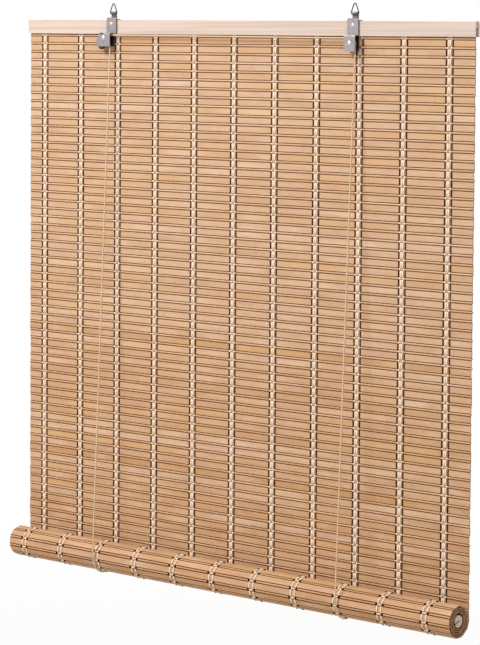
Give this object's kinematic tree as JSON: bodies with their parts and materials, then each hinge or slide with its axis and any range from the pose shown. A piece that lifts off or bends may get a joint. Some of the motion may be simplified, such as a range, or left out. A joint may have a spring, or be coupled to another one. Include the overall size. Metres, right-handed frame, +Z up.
{
  "type": "bamboo roll up blind",
  "caption": "Woven bamboo roll-up blind, half let down: grooved head rail, slat mat with yarn columns, lower roll on a rod, ring brackets, pulley, cord lock and lift cords.",
  "frame": {"origin": "middle of the head rail's back face, on the wall plane", "axes": "+X to the right seen from the front, +Y into the wall, +Z up"},
  "size_m": [0.804, 0.052, 0.8144],
  "materials": {
    "bamboo": "matt, each slat a slightly different tan",
    "pale_wood": "planed, unvarnished",
    "cream_yarn": "soft spun yarn",
    "brown_yarn": "soft spun yarn",
    "zinc_steel": "dull zinc plating",
    "dark_wire": "dark drawn wire",
    "lift_cord": "braided cord",
    "dark_plastic": "moulded"
  },
  "bodies": {
    "head": {"slat_mat": "bamboo", "head_rail": "pale_wood", "warp_01": "cream_yarn", "warp_02": "cream_yarn", "warp_03": "cream_yarn", "warp_04": "cream_yarn", "warp_05": "cream_yarn", "warp_06": "cream_yarn", "warp_07": "cream_yarn", "warp_08": "cream_yarn", "warp_09": "cream_yarn", "warp_10": "cream_yarn", "warp_11": "cream_yarn", "warp_brown": "brown_yarn", "left_strap": "zinc_steel", "right_strap": "zinc_steel", "lock_cover": "zinc_steel", "pulley_cover": "zinc_steel", "lock_rivet": "zinc_steel", "pulley_rivet": "zinc_steel", "left_screw": "zinc_steel", "right_screw": "zinc_steel", "cam_pin": "zinc_steel", "left_cord_lock": "lift_cord", "left_cord_front": "lift_cord", "left_cord_back": "lift_cord", "right_cord_cross": "lift_cord", "right_cord_front": "lift_cord", "right_cord_back": "lift_cord"},
    "sling": {"left_cord_loop": "lift_cord", "right_cord_loop": "lift_cord"},
    "roll": {"mat_roll": "bamboo", "bottom_rod": "pale_wood", "roll_warp": "cream_yarn", "roll_warp_brown": "brown_yarn"},
    "left_hanger": {"left_ring": "dark_wire"},
    "right_hanger": {"right_ring": "dark_wire"},
    "lock_spool": {"spool": "dark_plastic"},
    "pulley": {"pulley_wheel": "dark_plastic"},
    "cam": {"grip_cam": "zinc_steel"}
  },
  "joints": [
    {"name": "roll_lift", "type": "slide", "parent": "head", "child": "sling", "axis": [0, 0, 1], "range_m": [0, 0.624], "deforming": ["slat_mat", "warp_01", "warp_02", "warp_03", "warp_04", "warp_05", "warp_06", "warp_07", "warp_08", "warp_09", "warp_10", "warp_11", "warp_brown", "left_cord_front", "right_cord_front", "left_cord_back", "right_cord_back"]},
    {"name": "roll_turn", "type": "hinge", "parent": "sling", "child": "roll", "pos_m": [0, -0.02662, -0.75515], "axis": [-1, 0, 0], "range_deg": [0, 1441]},
    {"name": "left_ring_swing", "type": "hinge", "parent": "head", "child": "left_hanger", "pos_m": [-0.233, -0.006, 0.0198], "axis": [1, 0, 0], "range_deg": [-90, 90]},
    {"name": "right_ring_swing", "type": "hinge", "parent": "head", "child": "right_hanger", "pos_m": [0.205, -0.006, 0.0198], "axis": [1, 0, 0], "range_deg": [-90, 90]},
    {"name": "spool_spin", "type": "hinge", "parent": "head", "child": "lock_spool", "pos_m": [-0.242, -0.0132, -0.0152], "axis": [0, 1, 0], "continuous": true},
    {"name": "pulley_spin", "type": "hinge", "parent": "head", "child": "pulley", "pos_m": [0.205, -0.0132, -0.019], "axis": [0, 1, 0], "continuous": true},
    {"name": "cam_swing", "type": "hinge", "parent": "head", "child": "cam", "pos_m": [-0.2435, -0.0132, -0.0234], "axis": [0, -1, 0], "range_deg": [-8, 35]}
  ],
  "couplings": [
    {"joint": "roll_turn", "follows": "roll_lift", "rad_per_m": 40.277}
  ]
}
